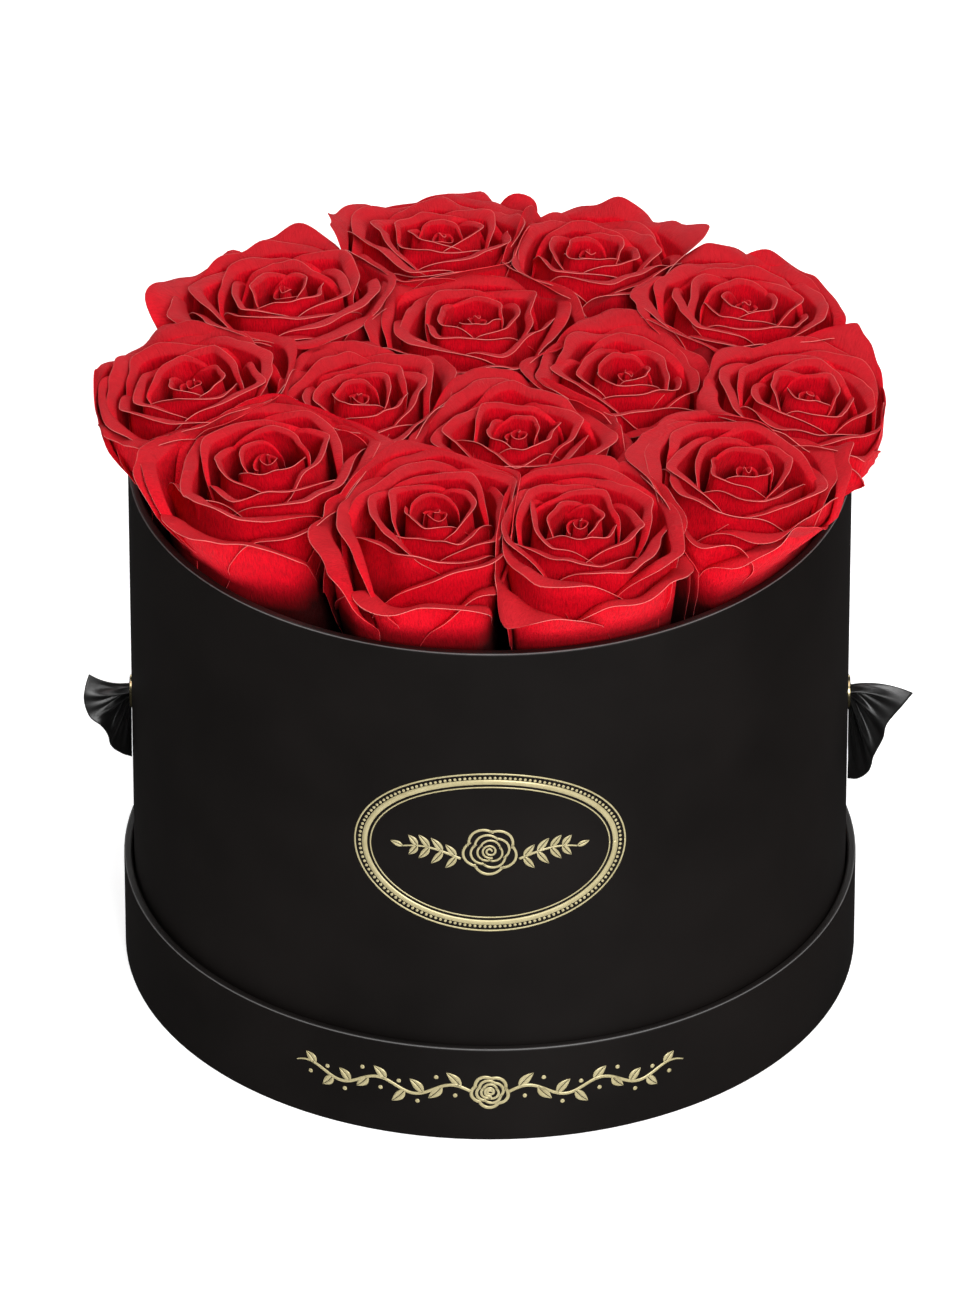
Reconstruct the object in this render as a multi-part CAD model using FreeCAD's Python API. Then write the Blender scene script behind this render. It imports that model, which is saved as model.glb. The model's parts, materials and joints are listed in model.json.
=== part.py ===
"""Round flower box: a paper-wrapped hat box full of roses, standing in its own upturned lid.

Frame: +Z up, origin on the underside's centre, front (with the emblem) towards -Y. Millimetres.
"""

import math
import os

import FreeCAD
import Part

V = FreeCAD.Vector
UP = V(0, 0, 1)

# Driving dimensions
BOX_RADIUS = 100.0
RIM_HEIGHT = 157.0
BOARD = 2.0
PAPER = 0.3
FOIL = 0.12
LID_CLEARANCE = 0.5
LID_HEIGHT = 30.0
LID_BOARD = 1.8
TURN_IN = 15.0
REST_GAP = 0.1
EDGE_ROUND = 0.8

# Box, from the outside in
WALL_OUTER = BOX_RADIUS - PAPER
WALL_INNER = WALL_OUTER - BOARD
LINING_INNER = WALL_INNER - PAPER

# Lid, from the inside out
LID_INNER = BOX_RADIUS + LID_CLEARANCE
LID_WALL_INNER = LID_INNER + PAPER
LID_WALL_OUTER = LID_WALL_INNER + LID_BOARD
LID_RADIUS = LID_WALL_OUTER + PAPER

# Heights of the stacked discs
LID_DISC_TOP = PAPER + BOARD
BOX_UNDERSIDE = LID_DISC_TOP + REST_GAP
BOX_DISC_BOTTOM = BOX_UNDERSIDE + PAPER
BOX_DISC_TOP = BOX_DISC_BOTTOM + BOARD

# Foam block and stems
FOAM_RADIUS = 96.0
FOAM_BOTTOM = BOX_DISC_TOP + PAPER
FOAM_TOP = 112.0
FOAM_EDGE = 3.0
STEM_RADIUS = 2.5
STEM_BOTTOM = 62.0
POCKET_DEPTH = 22.0
POCKET_WIDTH = 20.0
POCKET_HEIGHT = 24.0

# Roses: bloom base height, heart tip height, and the gap kept between neighbours
BLOOM_BASE = 125.0
HEART_TOP = 184.0
BLOOM_GAP = 0.3
WALL_GAP = 0.3
SEPAL_BOTTOM = 117.0
LEAN = 0.10

# Each rose: heading in degrees from +X, distance of its tip from the axis, bloom radius
OUTER_ROSES = [
    (140, 75, 29.0),
    (100, 79, 27.0),
    (68, 74, 25.5),
    (30, 82, 27.5),
    (-5, 88, 27.5),
    (-34, 84, 27.0),
    (-72, 78, 26.5),
    (-102, 71, 27.5),
    (-147, 76, 31.5),
    (-179, 82, 27.5),
]
INNER_ROSES = [
    (97, 33, 27.0),
    (5, 38, 25.0),
    (-75, 29, 26.5),
    (-167, 37, 25.0),
]

# Bloom outline from its foot up, as shares of the bloom's radius and of its height
FOOT = (0.26, 0.0)
BULB = ((0.72, 0.16), (0.84, 0.42))
FLARE = ((0.93, 0.64), (1.0, 0.80))
CROWN = ((0.92, 0.93), (0.62, 0.97))
HEART = (0.22, 1.0)
SEPAL_INSET = 1.5

# Eyelets and ribbons
EYELET_HEIGHT = 81.0
EYELET_BORE = 2.9
EYELET_BARREL = 3.4
EYELET_FLANGE = 4.6
EYELET_LIP = 0.8
WASHER_RADIUS = 5.0
WASHER_THICK = 0.5
NECK_RADIUS = 2.4
KNOT_RADIUS = 5.0
TAIL_THICK = 5.0
TAIL_ROOT = 2.3
PIVOT_REACH = 3.4
TAIL_STEP_OUT = 0.4
TAIL_SHOULDER = (0.0, 1.8)

# Ribbon tails seen from the front, outward and upward from the pivot, free corner to free corner
LEFT_TAIL = [(8.5, 5.2), (9.9, -1.6), (8.4, -6.4), (5.2, -9.6), (2.8, -17.0), (0.2, -21.5), (-2.4, -23.4)]
RIGHT_TAIL = [(15.0, -0.4), (7.5, -10.0), (4.4, -19.0), (3.2, -26.5), (0.0, -30.4), (-2.4, -30.8)]

# Gold foil: emblem on the wall and the ornament on the lid band
EMBLEM_HEIGHT = 93.0
EMBLEM_HALF_WIDTH = 38.0
EMBLEM_HALF_HEIGHT = 25.8
EMBLEM_LINE = 2.0
BAND_CENTRE = 16.0
BAND_HALF_ANGLE = 34.0
BAND_MOTIFS = 9
MOTIF_HALF_WIDTH = 4.6
MOTIF_HALF_HEIGHT = 3.6

# Cutters: how far they reach past what they cut
CUT_REACH = 40.0
CUT_BLOCK = 300.0

OUT = "parts"


def save(name, *solids):
    shape = solids[0] if len(solids) == 1 else Part.makeCompound(list(solids))
    shape.exportStep(os.path.join(OUT, name + ".step"))


def disc(radius, bottom, top):
    return Part.makeCylinder(radius, top - bottom, V(0, 0, bottom), UP)


def tube(outer, inner, bottom, top):
    return disc(outer, bottom, top).cut(disc(inner, bottom, top))


def revolved(edges):
    """A full turn of a closed outline that lies in the XZ plane."""
    face = Part.Face(Part.Wire(edges))
    return face.revolve(V(0, 0, 0), UP, 360)


def line(a, b):
    return Part.LineSegment(V(a[0], 0, a[1]), V(b[0], 0, b[1])).toShape()


def arc(a, b, c):
    points = [V(p[0], 0, p[1]) for p in (a, b, c)]
    return Part.Arc(*points).toShape()


def paper_skin(outer, board_outer, board_inner, bottom, top):
    """Paper glued to a tube's outside, rounded over its rim and turned in at the top."""
    inside = board_inner - PAPER
    r = EDGE_ROUND
    d = r * (1 - math.sqrt(0.5))
    turn_end = top - TURN_IN
    board_top = top - PAPER
    return revolved(
        [
            line((outer, bottom), (outer, top - r)),
            arc((outer, top - r), (outer - d, top - d), (outer - r, top)),
            line((outer - r, top), (inside + r, top)),
            arc((inside + r, top), (inside + d, top - d), (inside, top - r)),
            line((inside, top - r), (inside, turn_end)),
            line((inside, turn_end), (board_inner, turn_end)),
            line((board_inner, turn_end), (board_inner, board_top - r)),
            arc((board_inner, board_top - r), (board_inner + d, board_top - d), (board_inner + r, board_top)),
            line((board_inner + r, board_top), (board_outer - r, board_top)),
            arc((board_outer - r, board_top), (board_outer - d, board_top - d), (board_outer, board_top - r)),
            line((board_outer, board_top - r), (board_outer, bottom)),
            line((board_outer, bottom), (outer, bottom)),
        ]
    )


def board_tube(outer, inner, bottom, top):
    """Greyboard tube with a softened rim that the paper skin follows."""
    r = EDGE_ROUND
    d = r * (1 - math.sqrt(0.5))
    return revolved(
        [
            line((outer, bottom), (outer, top - r)),
            arc((outer, top - r), (outer - d, top - d), (outer - r, top)),
            line((outer - r, top), (inner + r, top)),
            arc((inner + r, top), (inner + d, top - d), (inner, top - r)),
            line((inner, top - r), (inner, bottom)),
            line((inner, bottom), (outer, bottom)),
        ]
    )


def make_lid():
    save("lid_wall_board", board_tube(LID_WALL_OUTER, LID_WALL_INNER, PAPER, LID_HEIGHT - PAPER))
    save("lid_disc_board", disc(LID_WALL_INNER, PAPER, LID_DISC_TOP))
    save("lid_wall_paper", paper_skin(LID_RADIUS, LID_WALL_OUTER, LID_WALL_INNER, 0, LID_HEIGHT))
    save("lid_top_paper", disc(LID_WALL_OUTER, 0, PAPER))


def side_hole(radius, side):
    """Round cutter along X through the wall at an eyelet."""
    start = V(side * (BOX_RADIUS - CUT_REACH / 2), 0, EYELET_HEIGHT)
    return Part.makeCylinder(radius, CUT_REACH, start, V(side, 0, 0))


def make_box():
    holes = [side_hole(EYELET_BARREL, side) for side in (-1, 1)]
    wall = board_tube(WALL_OUTER, WALL_INNER, BOX_DISC_BOTTOM, RIM_HEIGHT - PAPER)
    skin = paper_skin(BOX_RADIUS, WALL_OUTER, WALL_INNER, BOX_UNDERSIDE, RIM_HEIGHT)
    lining = tube(WALL_INNER, LINING_INNER, BOX_DISC_TOP, RIM_HEIGHT - TURN_IN)
    save("box_wall_board", wall.cut(holes))
    save("box_wall_paper", skin.cut(holes))
    save("box_lining_paper", lining.cut(holes))
    save("box_bottom_board", disc(WALL_INNER, BOX_DISC_BOTTOM, BOX_DISC_TOP))
    save("box_bottom_paper", disc(WALL_OUTER, BOX_UNDERSIDE, BOX_DISC_BOTTOM))


def make_eyelet(side, name):
    """Brass eyelet: a barrel through the wall, a rolled flange outside and a washer inside."""
    x_out = BOX_RADIUS
    x_in = LINING_INNER - WASHER_THICK
    barrel_length = x_out - x_in
    axis = V(side, 0, 0)
    start = V(side * x_in, 0, EYELET_HEIGHT)
    face = V(side * x_out, 0, EYELET_HEIGHT)
    barrel = Part.makeCylinder(EYELET_BARREL, barrel_length, start, axis)
    rolled = Part.makeTorus(
        (EYELET_BARREL + EYELET_FLANGE) / 2, (EYELET_FLANGE - EYELET_BARREL) / 2, face, axis
    )
    flange = Part.makeCylinder(EYELET_FLANGE, EYELET_LIP / 2, face, axis)
    bore = side_hole(EYELET_BORE, side)
    wall = tube(BOX_RADIUS, LINING_INNER, EYELET_HEIGHT - 2 * WASHER_RADIUS, EYELET_HEIGHT + 2 * WASHER_RADIUS)
    outside = flange.fuse(rolled).cut(wall).cut(disc(BOX_RADIUS, 0, RIM_HEIGHT))
    save("eyelet_" + name, barrel.fuse(outside).cut(bore).removeSplitter())
    washer = Part.makeCylinder(WASHER_RADIUS, WASHER_THICK, start, axis)
    washer = washer.cut(side_hole(EYELET_BARREL, side)).cut(wall)
    save("eyelet_washer_" + name, washer)


def make_ribbon(side, name, outline):
    """The knot with its neck through the eyelet, and the free tail that swings outside."""
    pivot_x = BOX_RADIUS + PIVOT_REACH
    knot_x = LINING_INNER - WASHER_THICK - KNOT_RADIUS - WALL_GAP
    neck_end = pivot_x - TAIL_ROOT - TAIL_STEP_OUT
    knot = Part.makeSphere(KNOT_RADIUS, V(side * knot_x, 0, EYELET_HEIGHT))
    neck = Part.makeCylinder(NECK_RADIUS, neck_end - knot_x, V(side * knot_x, 0, EYELET_HEIGHT), V(side, 0, 0))
    save("ribbon_knot_" + name, knot.fuse(neck))
    pivot = V(side * pivot_x, 0, EYELET_HEIGHT)
    half = TAIL_THICK / 2
    corners = [pivot + V(side * u, -half, w) for u, w in [TAIL_SHOULDER] + outline]
    fan = Part.Face(Part.makePolygon(corners + corners[:1])).extrude(V(0, TAIL_THICK, 0))
    roll = Part.makeCylinder(TAIL_ROOT, TAIL_THICK, pivot - V(0, half, 0), V(0, 1, 0))
    keep_out = disc(BOX_RADIUS + TAIL_STEP_OUT, 0, RIM_HEIGHT)
    save("ribbon_tail_" + name, fan.fuse(roll).cut(keep_out))


def at_heading(degrees, distance, height):
    a = math.radians(degrees)
    return V(distance * math.cos(a), distance * math.sin(a), height)


class Rose:
    """One rose: where its axis runs, and the solids around it."""

    def __init__(self, heading, distance, radius):
        self.tip = at_heading(heading, distance, HEART_TOP)
        self.foot = at_heading(heading, distance * (1 - LEAN), BLOOM_BASE)
        self.radius = radius
        self.height = (self.tip - self.foot).Length
        self.axis = (self.tip - self.foot).normalize()
        self.widest = self.foot + self.axis * (self.height * FLARE[1][1])

    def outline(self):
        foot, *rest = [(r * self.radius, h * self.height) for r, h in (FOOT, *BULB, *FLARE, *CROWN, HEART)]
        top = (0, self.height)
        return [
            line((0, 0), foot),
            arc(foot, rest[0], rest[1]),
            arc(rest[1], rest[2], rest[3]),
            arc(rest[3], rest[4], rest[5]),
            line(rest[5], rest[6]),
            line(rest[6], top),
            line(top, (0, 0)),
        ]

    def bloom(self, others):
        """The flower head, pressed flat where it meets a neighbour or the box wall."""
        solid = revolved(self.outline())
        solid.Placement = FreeCAD.Placement(self.foot, FreeCAD.Rotation(UP, self.axis))
        for other in others:
            apart = other.widest - self.widest
            if other is self or apart.Length > self.radius + other.radius + BLOOM_GAP:
                continue
            share = self.radius / (self.radius + other.radius)
            solid = solid.cut(half_space(self.widest + apart * share, apart, BLOOM_GAP / 2))
        wall = tube(BOX_RADIUS + CUT_REACH, LINING_INNER - WALL_GAP, 0, RIM_HEIGHT + WALL_GAP)
        return solid.cut(wall)

    def stem(self):
        """The wired stem in the foam, widening into the green cup under the bloom."""
        start = V(self.foot.x, self.foot.y, STEM_BOTTOM)
        rod = Part.makeCylinder(STEM_RADIUS, SEPAL_BOTTOM - STEM_BOTTOM, start, UP)
        cup_start = V(self.foot.x, self.foot.y, SEPAL_BOTTOM)
        cup_radius = FOOT[0] * self.radius - SEPAL_INSET
        cup = Part.makeCone(STEM_RADIUS, cup_radius, BLOOM_BASE - SEPAL_BOTTOM, cup_start, UP)
        return rod.fuse(cup.cut(half_space(self.foot, self.axis, 0))).removeSplitter()


def half_space(point, normal, back_off):
    """A large block that fills the side of a plane that normal points to, from back_off before it."""
    normal = V(normal).normalize()
    block = Part.makeBox(CUT_BLOCK, CUT_BLOCK, CUT_BLOCK, V(-CUT_BLOCK / 2, -CUT_BLOCK / 2, 0))
    turn = FreeCAD.Rotation(UP, normal)
    block.Placement = FreeCAD.Placement(point - normal * back_off, turn)
    return block


def knot_pocket(side):
    """Room cut in the foam for the ribbon's knot."""
    corner = V(side * BOX_RADIUS - POCKET_DEPTH, -POCKET_WIDTH / 2, EYELET_HEIGHT - POCKET_HEIGHT / 2)
    return Part.makeBox(2 * POCKET_DEPTH, POCKET_WIDTH, POCKET_HEIGHT, corner)


def make_flowers():
    roses = [Rose(*spec) for spec in OUTER_ROSES + INNER_ROSES]
    stems = [rose.stem() for rose in roses]
    for number, (rose, stem) in enumerate(zip(roses, stems), 1):
        save(f"rose_{number:02d}_bloom", rose.bloom(roses))
        save(f"rose_{number:02d}_stem", stem)
    foam = disc(FOAM_RADIUS, FOAM_BOTTOM, FOAM_TOP)
    top_edge = [e for e in foam.Edges if abs(e.CenterOfMass.z - FOAM_TOP) < 0.01]
    foam = foam.makeChamfer(FOAM_EDGE, top_edge)
    pockets = [knot_pocket(side) for side in (-1, 1)]
    save("foam_block", foam.cut(stems + pockets))


def oval(half_width, half_height, height):
    """A lying ellipse in the XZ plane, pushed forwards through the front wall."""
    centre = V(0, 0, height)
    edge = Part.Ellipse(centre, half_width, half_height).toShape()
    edge.rotate(centre, V(1, 0, 0), 90)
    return Part.Face(Part.Wire([edge])).extrude(V(0, -BOX_RADIUS - CUT_REACH, 0))


def make_foil():
    wall_film = tube(BOX_RADIUS + FOIL, BOX_RADIUS, EMBLEM_HEIGHT - CUT_REACH, EMBLEM_HEIGHT + CUT_REACH)
    outer = oval(EMBLEM_HALF_WIDTH, EMBLEM_HALF_HEIGHT, EMBLEM_HEIGHT)
    inner = oval(EMBLEM_HALF_WIDTH - EMBLEM_LINE, EMBLEM_HALF_HEIGHT - EMBLEM_LINE, EMBLEM_HEIGHT)
    save("emblem_foil", wall_film.common(outer.cut(inner)))
    band_film = tube(LID_RADIUS + FOIL, LID_RADIUS, 0, LID_HEIGHT)
    motifs = []
    for k in range(BAND_MOTIFS):
        turn = BAND_HALF_ANGLE * (2 * k / (BAND_MOTIFS - 1) - 1)
        motif = band_film.common(oval(MOTIF_HALF_WIDTH, MOTIF_HALF_HEIGHT, BAND_CENTRE))
        motif.rotate(V(0, 0, 0), UP, turn)
        motifs.append(motif.Solids[0])
    save("band_foil", *motifs)


def main():
    os.makedirs(OUT, exist_ok=True)
    make_lid()
    make_box()
    for side, name, outline in ((-1, "left", LEFT_TAIL), (1, "right", RIGHT_TAIL)):
        make_eyelet(side, name)
        make_ribbon(side, name, outline)
    make_flowers()
    make_foil()


main()
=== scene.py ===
import json
import math

import bpy
import numpy as np
from mathutils import Matrix, Vector


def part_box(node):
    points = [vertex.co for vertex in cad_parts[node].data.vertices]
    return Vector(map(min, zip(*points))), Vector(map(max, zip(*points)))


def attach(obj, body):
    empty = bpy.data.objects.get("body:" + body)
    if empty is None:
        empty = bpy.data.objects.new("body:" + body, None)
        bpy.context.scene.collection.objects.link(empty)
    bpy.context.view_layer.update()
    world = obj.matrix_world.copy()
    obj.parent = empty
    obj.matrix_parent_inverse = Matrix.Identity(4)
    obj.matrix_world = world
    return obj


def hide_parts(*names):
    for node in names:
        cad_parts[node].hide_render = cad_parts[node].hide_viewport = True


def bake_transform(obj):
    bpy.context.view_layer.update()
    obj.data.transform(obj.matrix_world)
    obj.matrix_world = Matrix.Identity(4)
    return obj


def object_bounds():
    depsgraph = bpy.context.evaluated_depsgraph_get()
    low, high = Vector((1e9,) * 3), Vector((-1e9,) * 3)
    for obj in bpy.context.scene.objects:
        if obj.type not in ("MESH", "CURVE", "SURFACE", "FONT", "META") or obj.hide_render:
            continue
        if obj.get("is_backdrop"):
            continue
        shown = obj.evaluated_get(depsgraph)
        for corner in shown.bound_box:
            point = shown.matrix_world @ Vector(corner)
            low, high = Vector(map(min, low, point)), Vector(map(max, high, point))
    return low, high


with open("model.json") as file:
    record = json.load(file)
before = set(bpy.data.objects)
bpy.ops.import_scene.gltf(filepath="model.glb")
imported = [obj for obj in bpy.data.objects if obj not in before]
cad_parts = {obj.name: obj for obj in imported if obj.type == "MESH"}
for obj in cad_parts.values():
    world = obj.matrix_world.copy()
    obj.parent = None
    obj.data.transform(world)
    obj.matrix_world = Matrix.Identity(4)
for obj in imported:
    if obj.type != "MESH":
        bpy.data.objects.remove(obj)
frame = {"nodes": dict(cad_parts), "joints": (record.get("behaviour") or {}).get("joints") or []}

MM = 0.001
SIZE_AT_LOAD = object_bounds()

# ---------------------------------------------------------------- places, from the frame, in millimetres

WALL_LOW, WALL_HIGH = (Vector(c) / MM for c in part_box("box_wall_paper"))
LID_LOW, LID_HIGH = (Vector(c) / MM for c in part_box("lid_wall_paper"))
BOX_RADIUS = (WALL_HIGH.x - WALL_LOW.x) / 2
RIM = WALL_HIGH.z
LID_RADIUS = (LID_HIGH.x - LID_LOW.x) / 2
PIVOTS = {j["child"]: Vector(j["pos_m"]) / MM for j in frame["joints"] if j["type"] == "hinge"}

# ---------------------------------------------------------------- small node helpers


def new_material(name):
    material = bpy.data.materials.new(name)
    material.use_nodes = True
    return material, material.node_tree, material.node_tree.nodes["Principled BSDF"]


def add(tree, kind, **inputs):
    """A node with its input values set; a socket given as a value is linked instead."""
    node = tree.nodes.new("ShaderNode" + kind)
    for name, value in inputs.items():
        connect(tree, value, node.inputs[name.replace("_", " ")])
    return node


def connect(tree, value, socket):
    if isinstance(value, bpy.types.NodeSocket):
        tree.links.new(value, socket)
    else:
        socket.default_value = value


def ramp(tree, factor, *stops):
    """A colour ramp; each stop is a position and a colour."""
    node = add(tree, "ValToRGB", Fac=factor)
    elements = node.color_ramp.elements
    while len(elements) < len(stops):
        elements.new(0.5)
    for element, (position, colour) in zip(elements, stops):
        element.position = position
        element.color = (*colour, 1) if len(colour) == 3 else colour
    return node.outputs["Color"]


def mix(tree, factor, a, b, blend="MIX"):
    """Mixes two colours: 6, 7 and 2 are the colour sockets A, B and Result of a Mix node."""
    node = tree.nodes.new("ShaderNodeMix")
    node.data_type = "RGBA"
    node.blend_type = blend
    connect(tree, factor, node.inputs["Factor"])
    connect(tree, a, node.inputs[6])
    connect(tree, b, node.inputs[7])
    return node.outputs[2]


def maths(tree, operation, a, b=0.0):
    node = tree.nodes.new("ShaderNodeMath")
    node.operation = operation
    connect(tree, a, node.inputs[0])
    connect(tree, b, node.inputs[1])
    return node.outputs[0]


def scaled_noise(tree, coordinates, stretch, scale, detail=4.0, roughness=0.6):
    mapping = add(tree, "Mapping", Vector=coordinates, Scale=stretch)
    vector = mapping.outputs["Vector"]
    noise = add(tree, "TexNoise", Vector=vector, Scale=scale, Detail=detail, Roughness=roughness)
    return noise.outputs["Fac"]


def bump(tree, height, strength, distance):
    """A bumped normal; distance is in metres."""
    node = add(tree, "Bump", Height=height, Strength=strength, Distance=distance)
    return node.outputs["Normal"]


def object_coordinates(tree):
    return add(tree, "TexCoord").outputs["Object"]


def grey(value):
    return (value, value, value, 1)


def rise(tree, value, low, high):
    """0 below low, 1 above high and even between them."""
    node = add(tree, "MapRange", Value=value, From_Min=low, From_Max=high)
    return node.outputs["Result"]


def add_attribute(tree, name):
    node = tree.nodes.new("ShaderNodeAttribute")
    node.attribute_name = name
    return node.outputs["Fac"]


# ---------------------------------------------------------------- materials, colours in linear RGB

EVEN = (1, 1, 1)
PAPER_TONE = (0.0068, 0.0050, 0.0044)
LINING_TONE = (0.005, 0.0045, 0.0045)
# A painted highlight: a light grey line along the rounded outer top edge of the walls
PAINTED_EDGE_HIGHLIGHT = (0.14, 0.136, 0.136, 1)
# Where the painted highlight starts and is full, in millimetres in from the top and from the outer face
HIGHLIGHT_START = 0.42
HIGHLIGHT_FULL = 0.28


def edge_highlight_mask(tree, where, radius, height):
    """1 on the rounded outer edge of a round wall's top, where a highlight is painted, else 0."""
    axes = add(tree, "SeparateXYZ", Vector=where).outputs
    squares = [maths(tree, "POWER", axes[axis], 2) for axis in "XY"]
    reach = maths(tree, "SQRT", maths(tree, "ADD", *squares))
    up = rise(tree, axes["Z"], (height - HIGHLIGHT_START) * MM, (height - HIGHLIGHT_FULL) * MM)
    out = rise(tree, reach, (radius - HIGHLIGHT_START) * MM, (radius - HIGHLIGHT_FULL) * MM)
    return maths(tree, "MULTIPLY", up, out)


def paper_material(name, tone, roughness, edge=None):
    """Soft-touch black paper with faint clouds and a fine tooth.

    edge, where there is one, is the radius and the height of the top edge that gets a painted highlight.
    """
    material, tree, shader = new_material(name)
    where = object_coordinates(tree)
    cloud = scaled_noise(tree, where, EVEN, 18, 3)
    tooth = scaled_noise(tree, where, EVEN, 2600, 3)
    light = tuple(c * 1.25 for c in tone)
    dark = tuple(c * 0.8 for c in tone)
    colour = ramp(tree, cloud, (0.35, dark), (0.7, light))
    # a painted highlight along the rounded top edge
    if edge:
        colour = mix(tree, edge_highlight_mask(tree, where, *edge), colour, PAINTED_EDGE_HIGHLIGHT)
    connect(tree, colour, shader.inputs["Base Color"])
    rough = add(tree, "MapRange", Value=cloud)
    rough.inputs["To Min"].default_value = roughness - 0.03
    rough.inputs["To Max"].default_value = roughness + 0.04
    connect(tree, rough.outputs["Result"], shader.inputs["Roughness"])
    shader.inputs["Specular IOR Level"].default_value = 0.35
    connect(tree, bump(tree, tooth, 0.12, 0.00004), shader.inputs["Normal"])
    return material


def greyboard_material():
    """Pressed grey board: short fibres and flecks."""
    material, tree, shader = new_material("greyboard")
    where = object_coordinates(tree)
    fibre = scaled_noise(tree, where, (1, 1, 6), 420, 6, 0.7)
    fleck = scaled_noise(tree, where, EVEN, 1500, 2)
    colour = ramp(tree, fibre, (0.3, (0.22, 0.205, 0.18)), (0.7, (0.37, 0.35, 0.31)))
    colour = mix(tree, maths(tree, "GREATER_THAN", fleck, 0.66), colour, (0.12, 0.11, 0.1, 1))
    connect(tree, colour, shader.inputs["Base Color"])
    shader.inputs["Roughness"].default_value = 0.9
    connect(tree, bump(tree, fibre, 0.3, 0.0001), shader.inputs["Normal"])
    return material


def foil_material():
    """Hot-stamped pale gold foil with the fine unevenness of the paper under it."""
    material, tree, shader = new_material("gold_foil")
    where = object_coordinates(tree)
    patch = scaled_noise(tree, where, EVEN, 260, 4)
    tooth = scaled_noise(tree, where, EVEN, 2600, 3)
    colour = ramp(tree, patch, (0.3, (0.56, 0.48, 0.25)), (0.7, (0.68, 0.60, 0.34)))
    connect(tree, colour, shader.inputs["Base Color"])
    shader.inputs["Metallic"].default_value = 0.3
    shader.inputs["Roughness"].default_value = 0.4
    connect(tree, bump(tree, tooth, 0.25, 0.00004), shader.inputs["Normal"])
    return material


def brass_material():
    """Pale brass-plated steel eyelets, lightly brushed by the setting tool."""
    material, tree, shader = new_material("eyelet_brass")
    where = object_coordinates(tree)
    brushed = scaled_noise(tree, where, (1, 8, 8), 500, 4)
    colour = ramp(tree, brushed, (0.3, (0.62, 0.5, 0.26)), (0.7, (0.8, 0.7, 0.42)))
    connect(tree, colour, shader.inputs["Base Color"])
    shader.inputs["Metallic"].default_value = 1.0
    rough = ramp(tree, brushed, (0.3, (0.2, 0.2, 0.2)), (0.7, (0.34, 0.34, 0.34)))
    connect(tree, rough, shader.inputs["Roughness"])
    connect(tree, bump(tree, brushed, 0.1, 0.00004), shader.inputs["Normal"])
    return material


def satin_material():
    """Black satin: fine floats across the ribbon that give a soft directional sheen."""
    material, tree, shader = new_material("black_satin")
    across = add(tree, "UVMap").outputs["UV"]
    floats = scaled_noise(tree, across, (1, 90, 1), 26, 3)
    soft = scaled_noise(tree, across, EVEN, 7, 2)
    colour = ramp(tree, soft, (0.3, (0.003, 0.003, 0.003)), (0.7, (0.006, 0.0055, 0.0055)))
    connect(tree, colour, shader.inputs["Base Color"])
    rough = ramp(tree, floats, (0.3, grey(0.27)), (0.7, grey(0.36)))
    connect(tree, rough, shader.inputs["Roughness"])
    shader.inputs["Sheen Weight"].default_value = 0.03
    shader.inputs["Sheen Roughness"].default_value = 0.4
    connect(tree, bump(tree, floats, 0.35, 0.00005), shader.inputs["Normal"])
    return material


def foam_material():
    """Dark dry floral foam: open pores over a slightly mottled block."""
    material, tree, shader = new_material("flower_foam")
    where = object_coordinates(tree)
    mottled = scaled_noise(tree, where, EVEN, 60, 4)
    pores = add(tree, "TexVoronoi", Vector=where, Scale=900.0).outputs["Distance"]
    colour = ramp(tree, mottled, (0.3, (0.006, 0.009, 0.006)), (0.7, (0.014, 0.02, 0.013)))
    connect(tree, colour, shader.inputs["Base Color"])
    shader.inputs["Roughness"].default_value = 0.95
    connect(tree, bump(tree, pores, 0.7, 0.0003), shader.inputs["Normal"])
    return material


def stem_material():
    """Dried green stem and calyx with lengthwise ribs."""
    material, tree, shader = new_material("rose_stem")
    where = object_coordinates(tree)
    ribs = scaled_noise(tree, where, (1, 1, 0.06), 900, 4)
    colour = ramp(tree, ribs, (0.3, (0.04, 0.07, 0.018)), (0.7, (0.1, 0.15, 0.04)))
    connect(tree, colour, shader.inputs["Base Color"])
    shader.inputs["Roughness"].default_value = 0.75
    connect(tree, bump(tree, ribs, 0.4, 0.0002), shader.inputs["Normal"])
    return material


# The first two petal colours are painted shade, for the dark deep down between the petals
PETAL_PAINTED_SHADE = (0.06, 0.0002, 0.0006)
PETAL_PAINTED_HALF_SHADE = (0.6534, 0.000528, 0.01122)
PETAL_WALL = (0.99, 0.0008, 0.017)
# The lip colour is a painted velvet sheen: paler and less saturated than the wall
PETAL_LIP_PAINTED_SHEEN = (0.67, 0.014, 0.024)
PETAL_EDGE = (1.0, 0.23, 0.21)
RIM_PALENESS = 0.5


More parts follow.
